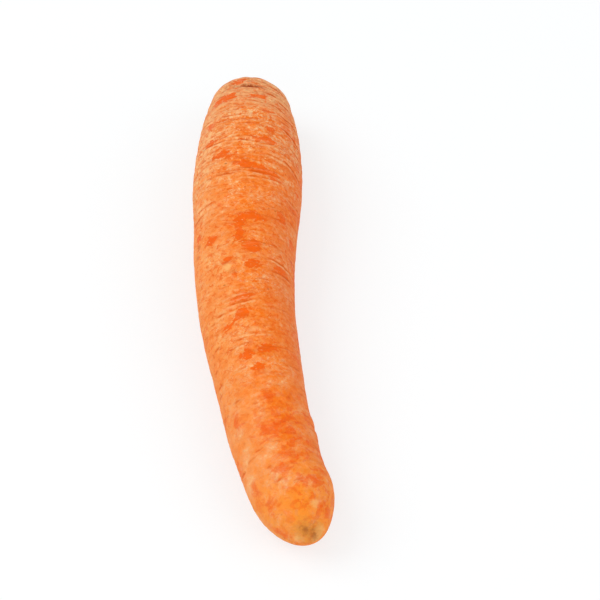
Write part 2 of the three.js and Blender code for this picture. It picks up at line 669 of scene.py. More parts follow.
    def pits_at(self, surface: Surface) -> np.ndarray:
        """Small slits where root hairs grew.

        Args:
            surface: The unbent points.

        Returns:
            How deep they are, 0 to 1.
        """
        dice = np.random.default_rng(self.pit_seed)
        depth = np.zeros(len(surface.along))
        for _ in range(self.pits):
            along, around = 10 + 165 * dice.random(), 2 * math.pi * dice.random()
            wide, long = 0.8 + 1.6 * dice.random(), 0.35 + 0.15 * dice.random()
            turn = surface.turn_from(around)
            off = (turn * surface.radius / wide) ** 2 + ((surface.along - along) / long) ** 2
            depth = np.maximum(depth, np.exp(-off) * (0.4 + 0.6 * dice.random()))
        return depth

    def stalks(self, surface: Surface) -> tuple[np.ndarray, np.ndarray]:
        """The cut bases of the leaf stalks in the crown's scar.

        Args:
            surface: The unbent points.

        Returns:
            How far they stand out in millimetres, and how near to the middle of its stalk each
            point is, from 0 in the gaps to 1.
        """
        dice = np.random.default_rng(self.stalk_seed)
        points = surface.points
        broad, fine = self.stalk_outline
        wobble = broad.at(points) + fine.at(points)
        near = np.zeros(len(points))
        for ring, count in self.stalk_rings:
            for number in range(count):
                angle = 2 * math.pi * (number + 0.5 * dice.random()) / count
                size = 1.5 + 0.5 * dice.random()
                out = np.array([math.cos(angle), math.sin(angle)])
                offset = points[:, [0, 2]] - ring * out
                aside = offset @ np.array([-out[1], out[0]])
                bowed = offset @ out + self.stalk_bow * aside**2
                distance = np.hypot(bowed * 1.45, aside * 0.78) / size + wobble
                near = np.maximum(near, 1 - distance)
        near = np.clip(near, 0, 1)
        in_scar = soft_step(surface.radius, 7.2, 5.8) * soft_step(surface.along, 5, 2.5)
        stub = self.stalk_height * soft_step(near, 0.0, 0.7) - self.stalk_hollow * soft_step(near, 0.5, 0.9)
        return in_scar * (stub - self.scar_depth + self.torn.at(points)), near * in_scar

    def tail_scar(self, surface: Surface) -> np.ndarray:
        """The pit and the folds where the thin root tail broke off.

        Args:
            surface: The unbent points.

        Returns:
            How deep they lie, in millimetres.
        """
        offset = surface.points - np.array(self.tail)
        distance = np.linalg.norm(offset, axis=1)
        angle = np.arctan2(offset[:, 0], offset[:, 2])
        pit = soft_step(distance, 2.2, 0.6)
        folds = 0.5 + 0.5 * np.cos(angle * self.tail_folds + self.tail_twist.at(surface.points))
        folds = self.tail_fold_depth * folds * soft_step(distance, 5.0, 1.8)
        return self.tail_pit_depth * pit + folds * (1 - pit)


@dataclass
class Root:
    """The carrot itself, from its first ring to its finished skin. Sizes in metres."""

    mould: bpy.types.Object
    spine: Spine
    skin: Skin = field(default_factory=Skin)
    rings_around: int = 40
    rings_along: int = 152
    least_radius: float = 0.3 * MM
    smoothing: float = 0.5
    smooth_passes: int = 2
    subdivisions: int = 2
    # How dark the pits are painted: painted shade over their brown.
    pit_shade: float = 0.5

    def stations(self) -> np.ndarray:
        """The rings to extrude.

        Returns:
            The distance from the crown and the radius of each ring, at even steps over the skin
            from the middle of the scar over the shoulder and down to the tip.
        """
        profile = self.spine.profile
        walked = np.concatenate([[0], np.cumsum(np.hypot(*np.diff(profile, axis=0).T))])
        steps = np.linspace(0, walked[-1], self.rings_along)
        alongs, radii = (np.interp(steps, walked, column) for column in profile.T)
        return np.stack([alongs, np.maximum(radii, self.least_radius)], axis=1)

    def extrude_rings(self) -> bpy.types.Object:
        """Extrudes one ring after another along the centre line, and closes both ends.

        Returns:
            The closed tube.
        """
        rings = self.stations()
        centres = [Vector(c) for c in self.spine.centre(rings[:, 0])]
        headings = [math.atan2(f[0], -f[1]) for f in self.spine.forward(rings[:, 0])]
        let_go()
        bpy.ops.mesh.primitive_circle_add(
            vertices=self.rings_around,
            radius=rings[0][1],
            location=centres[0],
            rotation=(math.pi / 2, 0, headings[0]),
        )
        tube = bpy.context.object
        tube.name = "carrot_root"
        take(tube, "EDIT")
        bpy.ops.mesh.select_all(action="SELECT")
        for here, there in pairwise(range(len(rings))):
            grow = rings[there][1] / rings[here][1]
            turn = headings[there] - headings[here]
            ahead = centres[there] - centres[here]
            bpy.ops.mesh.extrude_region_move(TRANSFORM_OT_translate={"value": ahead})
            bpy.ops.transform.resize(value=(grow, grow, grow), center_override=centres[there])
            bpy.ops.transform.rotate(value=-turn, orient_axis="Z", center_override=centres[there])
        bpy.ops.mesh.merge(type="CENTER")
        bpy.ops.mesh.select_all(action="DESELECT")
        bpy.ops.object.mode_set(mode="OBJECT")
        for vertex in tube.data.vertices[: self.rings_around]:
            vertex.select = True
        bpy.ops.object.mode_set(mode="EDIT")
        bpy.ops.mesh.merge(type="CENTER")
        bpy.ops.mesh.select_all(action="SELECT")
        bpy.ops.mesh.normals_make_consistent(inside=False)
        bpy.ops.object.mode_set(mode="OBJECT")
        bpy.ops.object.transform_apply(location=True, rotation=True, scale=True)
        return tube

    def apply(self, piece: bpy.types.Object, kind: str, **settings: object) -> None:
        """Adds a modifier to a piece and applies it.

        Args:
            piece: The piece to change.
            kind: Blender's name for the kind of modifier.
            settings: The modifier's own settings.
        """
        take(piece)
        modifier = piece.modifiers.new(kind.lower(), kind)
        for name, value in settings.items():
            setattr(modifier, name, value)
        bpy.ops.object.modifier_apply(modifier=modifier.name)

    def carve(self, piece: bpy.types.Object, relief: np.ndarray) -> None:
        """Raises the skin where the relief is above zero, then sinks it where it is below.

        Args:
            piece: The piece to carve.
            relief: How far each vertex moves out, in millimetres.
        """
        for way in (1, -1):
            share = np.clip(relief * way, 0, None)
            reach = float(share.max())
            group = piece.vertex_groups.new(name="relief")
            for index, weight in enumerate((share / reach).tolist()):
                group.add((index,), weight, "REPLACE")
            strength = way * reach * MM
            self.apply(piece, "DISPLACE", strength=strength, mid_level=0.0, vertex_group="relief")
            piece.vertex_groups.remove(piece.vertex_groups["relief"])

    def surface_of(self, piece: bpy.types.Object) -> Surface:
        """The surface of a piece, as if the root were straight.

        Args:
            piece: The piece, still bent.

        Returns:
            The unbent places of its vertices.
        """
        points = np.zeros(len(piece.data.vertices) * 3)
        piece.data.vertices.foreach_get("co", points)
        return Surface(self.spine.unbend(points.reshape(-1, 3)) / MM)

    def press_on_table(self, piece: bpy.types.Object) -> None:
        """Flattens whatever reaches below the table onto it.

        Args:
            piece: The piece that lies on the table.
        """
        take(piece, "EDIT")
        bpy.ops.mesh.select_all(action="DESELECT")
        bpy.ops.object.mode_set(mode="OBJECT")
        for vertex in piece.data.vertices:
            vertex.select = vertex.co.z < 0
        bpy.ops.object.mode_set(mode="EDIT")
        bpy.ops.transform.resize(value=(1, 1, 0), center_override=(0, 0, 0))
        bpy.ops.object.mode_set(mode="OBJECT")

    def store(self, piece: bpy.types.Object, name: Field, values: np.ndarray) -> None:
        """Keeps values on a mesh, where the finish can read them.

        Args:
            piece: The piece.
            name: What they are.
            values: A number or a place for each vertex.
        """
        kind, key = ("FLOAT_VECTOR", "vector") if values.ndim == 2 else ("FLOAT", "value")
        attribute = piece.data.attributes.new(name.value, kind, "POINT")
        attribute.data.foreach_set(key, values.astype(np.float32).ravel())

    def build(self) -> bpy.types.Object:
        """Makes the whole root.

        Returns:
            The finished piece, without its material.
        """
        piece = self.extrude_rings()
        self.apply(piece, "SHRINKWRAP", target=self.mould, wrap_method="NEAREST_SURFACEPOINT")
        bpy.data.objects.remove(self.mould)
        self.apply(piece, "SMOOTH", factor=self.smoothing, iterations=self.smooth_passes)
        self.apply(piece, "SUBSURF", levels=self.subdivisions, render_levels=self.subdivisions)
        surface = self.surface_of(piece)
        depth, fold, lip = self.skin.fold_fields(surface)
        # Painted shade: the pits are darkened with the colour of the crease valleys.
        pits = self.pit_shade * self.skin.pits_at(surface)
        self.carve(piece, self.skin.relief(surface) - depth)
        self.press_on_table(piece)
        self.store(piece, Field.UNBENT, surface.points * MM)
        for name, (patches, wobble) in self.skin.patch_fields().items():
            self.store(piece, name, self.skin.patch_reach(surface, patches, wobble))
        # The crease valleys and the pits, darkened: painted shade over their brown.
        self.store(piece, Field.FOLD, np.maximum(fold, pits))
        self.store(piece, Field.STALK, self.skin.stalks(surface)[1])
        # The lips of the creases, lightened: a painted highlight.
        self.store(piece, Field.LIP, lip)
        take(piece)
        bpy.ops.object.shade_smooth()
        return piece


class Graph:
    """The nodes of a material or a world, added and joined in the order they are thought of."""

    SHARE, UNDER, OVER, MIXED = 0, 6, 7, 2

    def __init__(self, owner: bpy.types.Material | bpy.types.World) -> None:
        """Starts with no nodes.

        Args:
            owner: The material or the world that the nodes make up.
        """
        owner.use_nodes = True
        self.owner = owner
        self.tree = owner.node_tree
        self.tree.nodes.clear()

    def add(
        self, kind: str, inputs: dict[str | int, object] | None = None, **settings: object
    ) -> bpy.types.Node:
        """Adds a node.

        Args:
            kind: Blender's name for the node, without its ShaderNode prefix.
            inputs: Values or sockets for the node's inputs, by name or number.
            settings: The node's own settings.

        Returns:
            The node.
        """
        node = self.tree.nodes.new("ShaderNode" + kind)
        for name, value in settings.items():
            setattr(node, name, value)
        for key, value in (inputs or {}).items():
            if isinstance(value, Socket):
                self.tree.links.new(value, node.inputs[key])
            else:
                node.inputs[key].default_value = value
        return node

    def calc(self, operation: str, first: object, second: object = 0.0) -> Socket:
        """Works out one number from two."""
        return self.add("Math", {0: first, 1: second}, operation=operation).outputs[0]

    def total(self, *values: object) -> Socket:
        """Adds numbers up."""
        return reduce(partial(self.calc, "ADD"), values)

    def product(self, *values: object) -> Socket:
        """Multiplies numbers."""
        return reduce(partial(self.calc, "MULTIPLY"), values)

    def step(self, value: Socket, low: float, high: float, top: float = 1.0) -> Socket:
        """A soft switch from 0 at low to top at high, which may lie below low."""
        inputs = {"Value": value, "From Min": low, "From Max": high, "To Min": 0.0, "To Max": top}
        return self.add("MapRange", inputs, interpolation_type="SMOOTHSTEP").outputs[0]

    def layer(self, under: object, over: object, share: object) -> Socket:
        """Lays one colour over another, by a share from 0 to 1."""
        inputs = {self.SHARE: share, self.UNDER: under, self.OVER: over}
        return self.add("Mix", inputs, data_type="RGBA").outputs[self.MIXED]

    def ramp(self, value: Socket, stops: dict[float, Colour]) -> Socket:
        """Turns a value into a colour.

        Args:
            value: A value from 0 to 1.
            stops: The colours, by the value they belong to.

        Returns:
            The colour.
        """
        node = self.add("ValToRGB", {0: value})
        elements = node.color_ramp.elements
        elements.remove(elements[-1])
        for number, (position, colour) in enumerate(stops.items()):
            stop = elements.new(position) if number else elements[0]
            stop.position, stop.color = position, colour
        return node.outputs[0]


@dataclass(frozen=True)
class SkinFinish:
    """The colours and the sheen of the skin, and how deep its finest roughness is."""

    flesh: Colour = paint(247, 111, 2)
    bared: Colour = paint(246, 100, 0)
    thin_veil: Colour = paint(248, 122, 26)
    veil: Colour = paint(251, 136, 50)
    thick_veil: Colour = paint(252, 152, 80)
    husk: Colour = paint(251, 170, 110)
    cream: Colour = paint(255, 202, 142)
    # Painted light: a drier tone with haze of light for the -X, lit side; pink shade for the +X side.
    dry_tone_and_lit_haze: Colour = paint(250, 164, 94)
    shade_side_pink: Colour = paint(236, 122, 68)
    red: Colour = paint(240, 84, 4)
    ashen: Colour = paint(240, 160, 112)
    # Painted shade over the brown of the crease valleys and the pits.
    fold: Colour = paint(192, 76, 4)
    rust: Colour = paint(238, 100, 10)
    umber: Colour = paint(210, 92, 26)
    speck: Colour = paint(158, 80, 30)
    collar: Colour = paint(240, 168, 110)
    collar_warm: Colour = paint(236, 134, 70)
    collar_dark: Colour = paint(152, 58, 8)
    husk_green: Colour = paint(150, 116, 62)
    gap: Colour = paint(74, 58, 34)
    stalk_side: Colour = paint(122, 98, 52)
    stalk_cut: Colour = paint(192, 152, 96)
    stalk_core: Colour = paint(128, 84, 44)
    tip: Colour = paint(254, 154, 50)
    butter: Colour = paint(255, 190, 116)
    ochre: Colour = paint(216, 148, 66)
    stain: Colour = paint(158, 86, 32)
    roughness: float = 0.58
    bare_smoother: float = 0.14
    scar_rougher: float = 0.25
    relief_strength: float = 0.7
    relief_depth: float = 0.3 * MM
    shine: float = 0.09
    glow: float = 0.08
    glow_colour: tuple[float, float, float] = (1.0, 0.35, 0.12)
    glow_depth: float = 1.2 * MM
    bloom: float = 0.04
    bloom_roughness: float = 0.35
    bloom_colour: Colour = paint(255, 226, 200)


class CarrotSkin(Graph):
    """The dry skin of the carrot: a pale veil over orange flesh, rubbed through in patches.

    It is painted from the flesh outwards, each colour over what is there so far. Along is the
    distance from the crown and side the distance aside of the centre line, in millimetres, and the
    sizes of noises are in millimetres too.
    """

    def __init__(self, paints: SkinFinish) -> None:
        """Starts the material, and finds out where on the root a point of it lies.

        Args:
            paints: The colours and the sheen.
        """
        super().__init__(bpy.data.materials.new("carrot_skin"))
        self.paints = paints
        self.place = self.field(Field.UNBENT)
        self.aside, ahead, self.up = self.add("SeparateXYZ", {0: self.place}).outputs
        self.along = self.calc("DIVIDE", ahead, MM)
        sway = self.swing(self.grain(24, 30, shift=9), 14.0)
        self.side = self.total(self.calc("DIVIDE", self.aside, MM), sway)
        self.flakes = self.grain(2.6, 2.1, shift=1, detail=5, warp=0.6, rough=0.62)
        self.network = self.line(self.grain(2.2, 1.8, shift=15, detail=3, warp=1.8), 0.5, 0.06)
        self.thick = self.veil_thickness()
        self.colour = self.veil_colour()

    def field(self, name: Field) -> Socket:
        """A value kept on the mesh."""
        node = self.add("Attribute", attribute_name=name.value)
        return node.outputs["Vector" if name is Field.UNBENT else "Fac"]

    def down(self, low: float, high: float, top: float = 1.0) -> Socket:
        """A soft switch by the distance from the crown."""
        return self.step(self.along, low, high, top)

    def across(self, low: float, high: float, top: float = 1.0) -> Socket:
        """A soft switch by the distance aside of the centre line."""
        return self.step(self.side, low, high, top)

    def swing(self, value: Socket, reach: float) -> Socket:
        """Turns a noise of 0 to 1 into one that swings about nothing, by reach for its full range."""
        return self.product(self.calc("SUBTRACT", value, 0.5), reach)

    def line(self, value: Socket, where: float, half: float) -> Socket:
        """A thin line where a noise passes through a value."""
        return self.step(self.calc("ABSOLUTE", self.calc("SUBTRACT", value, where)), half, half * 0.2)

    def lay(self, colour: Colour | Socket, share: Socket) -> None:
        """Lays a colour over the skin so far, by a share from 0 to 1."""
        self.colour = self.layer(self.colour, colour, share)

    def grain(
        self,
        around: float,
        along: float,
        shift: float,
        detail: float = 2,
        warp: float = 0,
        rough: float = 0.5,
    ) -> Socket:
        """Noise that follows the root.

        Args:
            around: How large one cell is round the root.
            along: How large one cell is along the root.
            shift: Moves it to another part of the noise, in cells.
            detail: How many finer layers lie over it.
            warp: How much it swirls.
            rough: How strong the finer layers are.

        Returns:
            A value from 0 to 1.
        """
        scale = (1 / (around * MM), 1 / (along * MM), 1 / (around * MM))
        moved = (shift, shift * 1.7, shift * 0.6)
        mapping = self.add("Mapping", {"Vector": self.place, "Location": moved, "Scale": scale})
        inputs = {
            "Vector": mapping.outputs[0],
            "Scale": 1.0,
            "Detail": detail,
            "Roughness": rough,
            "Distortion": warp,
        }
        return self.add("TexNoise", inputs).outputs[0]

    def dots(self, apart: float, rarity: float) -> Socket:
        """Small dots scattered over the skin.

        Args:
            apart: How far apart the places for dots are.
            rarity: The share of those places that stay empty.

        Returns:
            How much of a dot shows, 0 to 1.
        """
        scale = 1 / (apart * MM)
        stretched = self.add("Mapping", {"Vector": self.place, "Scale": (scale, scale * 1.5, scale)})
        inputs = {"Vector": stretched.outputs[0], "Scale": 1.0, "Randomness": 1.0}
        cells = self.add("TexVoronoi", inputs)
        pick = self.add("SeparateColor", {0: cells.outputs["Color"]}).outputs
        size = self.total(self.product(pick[1], 0.12), 0.05)
        inside = self.calc("SUBTRACT", size, cells.outputs["Distance"])
        return self.product(self.step(inside, -0.03, 0.06), self.step(pick[0], rarity, rarity + 0.02))

    def build(self) -> bpy.types.Material:
        """Paints the skin and gives it its sheen and finest roughness.

        Returns:
            The material.
        """
        self.paint_sides_and_tip()
        self.paint_middle()
        self.paint_collar()
        bare = self.paint_bare()
        fine_lines = self.paint_lines()
        self.paint_spots()
        scar = self.paint_scar()
        height = self.total(
            self.swing(self.flakes, 0.6),
            self.product(self.network, 0.3),
            self.product(bare, -0.3),
            self.product(fine_lines, -0.6),
            self.product(self.field(Field.STALK), 2.0),
            self.swing(self.grain(3.2, 0.9, shift=95, detail=4, rough=0.6), 1.4),
            self.product(self.grain(0.7, 0.5, shift=91), 0.25),
        )
        paints = self.paints
        inputs = {"Strength": paints.relief_strength, "Distance": paints.relief_depth, "Height": height}
        bump = self.add("Bump", inputs).outputs[0]
        bare_smoother = self.product(bare, -paints.bare_smoother)
        scar_rougher = self.product(scar, paints.scar_rougher)
        inputs = {
            "Base Color": self.colour,
            "Roughness": self.total(paints.roughness, bare_smoother, scar_rougher),
            "Normal": bump,
            "Specular IOR Level": paints.shine,
            "Subsurface Weight": paints.glow,
            "Subsurface Radius": paints.glow_colour,
            "Subsurface Scale": paints.glow_depth,
            "Sheen Weight": paints.bloom,
            "Sheen Roughness": paints.bloom_roughness,
            "Sheen Tint": paints.bloom_colour,
        }
        self.add("OutputMaterial", {"Surface": self.add("BsdfPrincipled", inputs).outputs[0]})
        return self.owner

    def veil_thickness(self) -> Socket:
        """The pale veil, in flakes, threads and flecks.

        Returns:
            How thick it lies, about 0 to 1.
        """
        crown = self.down(80, 30)
        low = self.down(120, 150)
        coarse = self.swing(self.grain(9, 7, shift=3), 1.1)
        coarse_share = self.total(0.7, self.down(130, 50, 0.3))
        flakes = self.swing(self.flakes, 1.0)
        flake_share = self.total(1.3, self.product(crown, 0.3), self.product(low, -0.5))
        threads = self.swing(self.grain(3.6, 1.2, shift=5, detail=4, warp=0.9, rough=0.66), 1.0)
        thread_share = self.total(0.35, self.product(crown, -0.05), self.product(low, -0.15))
        flecks = self.swing(self.grain(1.2, 1.2, shift=7, detail=3, warp=0.3, rough=0.65), 1.0)
        fleck_share = self.total(1.3, self.product(crown, 1.3), self.product(low, -0.6))
        netted = self.step(self.grain(12, 10, shift=21, detail=1), 0.40, 0.60)
        net_share = self.total(0.30, self.product(low, -0.18))
        return self.total(
            0.46,
            self.product(coarse, coarse_share),
            self.product(flakes, flake_share),
            self.product(threads, thread_share),
            self.product(flecks, fleck_share),
            self.product(self.network, netted, net_share),
            self.product(low, self.swing(self.grain(6, 5, shift=8), 1.3)),
            self.veil_by_side(),
        )

    def veil_by_side(self) -> Socket:
        """Sets the veil's thickness by side, with painted haze of light towards -X.

        The veil is thicker, so paler, towards -X near both ends and far to -X near the crown: painted haze
        of light on the side the key lamp lights. It is thinner on top of the middle and low on the far -X
        flank, and thicker off the top near the crown.

        Returns:
            What to add to its thickness.
        """
        middle = self.product(self.down(44, 64), self.down(134, 126))
        ends = self.calc("SUBTRACT", 1.0, middle)
        # Painted light: a thicker, paler veil towards -X, the side the key lamp lights.
        lit_haze_at_ends = self.product(self.across(-1.0, -6.0, 0.13), ends)
        top = self.product(self.across(-5.0, -1.0), self.across(16.0, 6.0, -0.07))
        rubbed = self.product(top, middle)
        flank = self.product(self.down(88, 106), self.across(-10.0, -14.0, -0.16))
        # Painted light: more haze far to -X in the half nearer the crown.
        lit_haze_on_crown_side = self.product(self.down(86, 66), self.across(-9.0, -14.0, 0.24))
        off_top = self.step(self.calc("ABSOLUTE", self.side), 7.0, 12.0, 0.17)
        shoulder = self.product(self.down(55, 30), off_top)
        return self.total(lit_haze_at_ends, rubbed, flank, lit_haze_on_crown_side, shoulder)

    def veil_colour(self) -> Socket:
        """Colours the flesh under its veil, paler where the veil is thicker.

        Returns:
            The colour.
        """
        paints = self.paints
        stops = {
            0.0: paints.flesh,
            0.22: paints.thin_veil,
            0.44: paints.veil,
            0.66: paints.thick_veil,
            0.84: paints.husk,
            1.0: paints.cream,
        }
        return self.ramp(self.thick, stops)

    def paint_sides_and_tip(self) -> None:
        """Drier tone and painted light haze to -X, painted pink shade to +X, a golden tip, red blotches."""
        # Painted light: paler haze over a drier tone towards -X, the lamp's side; pink shade towards +X.
        self.lay(self.paints.dry_tone_and_lit_haze, self.across(3.0, -14.0, 0.40))
        self.lay(self.paints.shade_side_pink, self.across(2.0, 15.0, 0.36))
        ragged = self.swing(self.grain(3, 3, shift=131, detail=5, warp=0.4, rough=0.7), 9.0)
        gold = self.step(self.total(self.field(Field.GOLD), ragged), -3.5, 4.0, 0.7)
        gold = self.calc("MAXIMUM", gold, self.down(158, 178, 0.55))
        self.lay(self.paints.tip, self.product(gold, self.step(self.thick, 1.1, 0.35)))
        ragged = self.swing(self.grain(2.6, 2.0, shift=17, detail=5, warp=0.8, rough=0.72), 12.0)
        blush = self.total(self.field(Field.BLUSH), ragged)
        self.lay(self.paints.red, self.step(blush, -1.0, 2.2, 0.6))

    def paint_middle(self) -> None:
        """Red flecks and a pale web over the middle, red veins and ashen spots towards the tip."""
        middle = self.product(self.down(62, 78), self.down(145, 128))
        middle = self.product(middle, self.across(-13.0, -4.0, 0.34))
        flecks = self.grain(2.0, 1.7, shift=33, detail=5, warp=0.7, rough=0.64)
        self.lay(self.paints.red, self.product(self.step(flecks, 0.51, 0.60), middle))
        webbed = self.product(self.down(74, 88), self.down(136, 118))
        webbed = self.product(webbed, self.across(4.0, -3.0, 0.42))
        webs = self.line(self.grain(2.3, 1.9, shift=45, detail=3, warp=1.1), 0.5, 0.08)
        broken = self.step(self.grain(5, 4, shift=47), 0.42, 0.56)
        self.lay(self.paints.butter, self.product(webs, webbed, broken))
        over = self.calc("MAXIMUM", self.across(-11.0, 2.0), self.down(160, 172, 0.55))
        mottled = self.product(self.down(128, 150), over)
        veins = self.grain(3.4, 3.0, shift=19, detail=4, warp=0.9, rough=0.6)
        self.lay(self.paints.red, self.product(self.step(veins, 0.52, 0.59, 0.50), mottled))
        spots = self.grain(2.4, 2.2, shift=23, detail=4, warp=0.6, rough=0.6)
        self.lay(self.paints.ashen, self.product(self.step(spots, 0.57, 0.66, 0.32), mottled))

    def paint_collar(self) -> None:
        """The tan, grainy collar over the crown, with warm blotches, dark streaks and cream flecks."""
        fine = self.swing(self.grain(3.0, 1.5, shift=101, detail=5, rough=0.66), 14.0)
        broad = self.swing(self.grain(10, 6, shift=105, detail=1), 14.0)
        reach = self.total(self.along, fine, broad)
        zone = self.step(reach, 33.0, 15.0, 0.85)
        near = self.step(reach, 22.0, 8.0)
        self.lay(self.paints.collar, zone)
        blotches = self.grain(4.0, 2.4, shift=107, detail=4, warp=0.6, rough=0.66)
        self.lay(self.paints.collar_warm, self.product(self.step(blotches, 0.48, 0.66, 0.5), zone))
        streaks = self.grain(4.4, 1.7, shift=111, detail=3, warp=0.5, rough=0.6)
        broken = self.step(self.grain(3.0, 2.0, shift=113), 0.44, 0.60)
        streaks = self.product(self.line(streaks, 0.5, 0.075), broken, near, 0.65)
        self.lay(self.paints.collar_dark, streaks)
        flecks = self.grain(1.7, 1.3, shift=115, detail=4, warp=0.3, rough=0.66)
        share = self.total(0.45, self.product(near, 0.4))
        self.lay(self.paints.cream, self.product(self.step(flecks, 0.48, 0.58), zone, share))

    def paint_bare(self) -> Socket:
        """Rubs the veil off in patches, with pale rims in places and pale crumbs inside.

        Returns:
            How bare the skin is, 0 to 1.
        """
        ragged = self.swing(self.grain(2.4, 1.5, shift=31, detail=5, warp=0.6, rough=0.66), 5.2)
        reach = self.total(self.field(Field.BARE), ragged)
        spots = self.grain(2.6, 1.3, shift=41, detail=3, warp=0.5, rough=0.6)
        spots = self.product(self.step(spots, 0.62, 0.67), self.down(165, 120, 0.7))
        bare = self.calc("MAXIMUM", self.step(reach, -0.10, 0.14), spots)
        broken = self.step(self.grain(2.6, 1.8, shift=25), 0.48, 0.62)
        rim = self.product(self.step(reach, -0.8, -0.3), self.step(reach, 0.05, -0.20), broken)
        crumbs = self.step(self.grain(1.1, 0.7, shift=27), 0.63, 0.72, 0.6)
        self.lay(self.paints.cream, self.product(rim, self.down(90, 40, 0.7)))
        self.lay(self.paints.bared, self.product(bare, 0.94))
        self.lay(self.paints.husk, self.product(bare, crumbs))
        return bare

    def paint_lines(self) -> Socket:
        """Fine lines round the root, dark ones beside pale ones, and the marks of the creases: painted
        shade over the brown of their valleys and pits, and a painted highlight on their lips.

        Returns:
            How dark the fine lines are, 0 to 1.
        """
        rings = self.grain(9, 1.9, shift=51, detail=4, warp=0.6, rough=0.6)
        broken = self.step(self.grain(6, 3, shift=61), 0.44, 0.60)
        strength = self.total(0.20, self.product(self.down(100, 40), 0.38))
        strength = self.product(strength, self.down(150, 120))
        dark = self.product(self.line(rings, 0.5, 0.050), broken, strength)
        pale = self.product(self.line(rings, 0.57, 0.040), broken, strength, 0.5)
        self.lay(self.paints.cream, pale)
        self.lay(self.paints.rust, self.product(dark, 0.9))
        dashes = self.grain(1.9, 1.3, shift=65, detail=4, warp=0.8, rough=0.66)
        arcs = self.line(self.grain(3.0, 2.2, shift=67, detail=3, warp=0.8, rough=0.6), 0.5, 0.10)
        arcs = self.product(arcs, self.step(self.grain(2.0, 1.6, shift=69, detail=3), 0.52, 0.64, 0.8))
        marks = self.calc("MAXIMUM", self.step(dashes, 0.565, 0.645), arcs)
        self.lay(self.paints.rust, self.product(marks, self.down(175, 110, 0.85)))
        ragged = self.grain(1.6, 0.9, shift=63)
        hollow_shade = self.field(Field.FOLD)
        halo = self.product(self.step(hollow_shade, 0.08, 0.45, 0.8), self.step(ragged, 0.74, 0.52))
        # A painted highlight on the lips of the creases.
        self.lay(self.paints.cream, self.product(self.field(Field.LIP), self.step(ragged, 0.36, 0.56), 0.8))
        # Painted shade over the rust and brown of the crease valleys and the pits.
        self.lay(self.paints.rust, halo)
        self.lay(self.paints.fold, self.product(hollow_shade, self.step(ragged, 0.68, 0.46), 0.9))
        return dark

    def paint_spots(self) -> None:
        """The pale scabs, the dark marks and the small dots."""
        crown = self.down(80, 60)
        past_crown = self.down(60, 80)
        before_tip = self.down(180, 170, 0.8)
        tip = self.down(170, 180)
        ragged = self.swing(self.grain(1.4, 1.0, shift=71, detail=4, warp=0.4, rough=0.66), 2.4)
        pale = self.total(self.field(Field.PALE), ragged)
        self.lay(self.paints.butter, self.step(pale, -0.6, 0.9, 0.7))
        ragged = self.swing(self.grain(1.2, 1.0, shift=75, detail=4, warp=0.3, rough=0.66), 2.6)
        reach = self.total(self.field(Field.STAIN), ragged)
        stain = self.step(reach, -0.9, 0.8)
        self.lay(self.paints.ochre, self.product(self.step(reach, -3.4, -0.8, 0.5), tip))
        self.lay(self.paints.stain, self.product(stain, tip, 0.65))
        self.lay(self.paints.umber, self.product(stain, past_crown, before_tip))
        self.lay(self.paints.collar_dark, self.product(stain, crown))
        self.lay(self.paints.cream, self.product(self.dots(2.2, 0.70), self.down(130, 60, 0.8)))
        self.lay(self.paints.speck, self.product(self.dots(3.4, 0.92), 0.5))
        self.lay(self.paints.umber, self.product(self.dots(2.7, 0.84), self.down(105, 60, 0.8)))

    def paint_scar(self) -> Socket:
        """The dark scar of the leaves on the end of the crown, with the cut stalks in it.

        Returns:
            How much of the scar shows, 0 to 1.
        """
        square = self.total(self.product(self.aside, self.aside), self.product(self.up, self.up))
        radius = self.calc("DIVIDE", self.calc("SQRT", square), MM)
        ragged = self.swing(self.grain(2.6, 2.6, shift=117, detail=5, rough=0.66), 6.0)
        worn = self.total(radius, ragged)
        rim = self.product(self.step(worn, 9.5, 7.0, 0.7), self.down(6.0, 3.0))
        self.lay(self.paints.husk_green, rim)
        fibres = self.grain(0.9, 0.9, shift=121, detail=4, warp=0.3, rough=0.65)
        height = self.total(self.field(Field.STALK), self.swing(fibres, 1.3))
        stops = {0.0: self.paints.gap, 0.18: self.paints.stalk_side, 0.46: self.paints.stalk_cut}
        browned = self.grain(1.7, 1.7, shift=123, detail=5, warp=0.6, rough=0.7)
        browned = self.product(self.step(browned, 0.47, 0.60, 0.75), self.step(height, 0.0, 0.3))
        stub = self.layer(self.ramp(height, stops), self.paints.stalk_core, browned)
        scar = self.product(self.step(worn, 7.4, 6.2), self.down(5.0, 3.0))
        self.lay(stub, self.product(scar, 0.95))
        return scar


@dataclass(frozen=True)
class Lamp:
    """A square soft lamp: where it hangs, the length of its side in metres, and its watts."""

    name: str
    place: tuple[float, float, float]
    side: float
    power: float


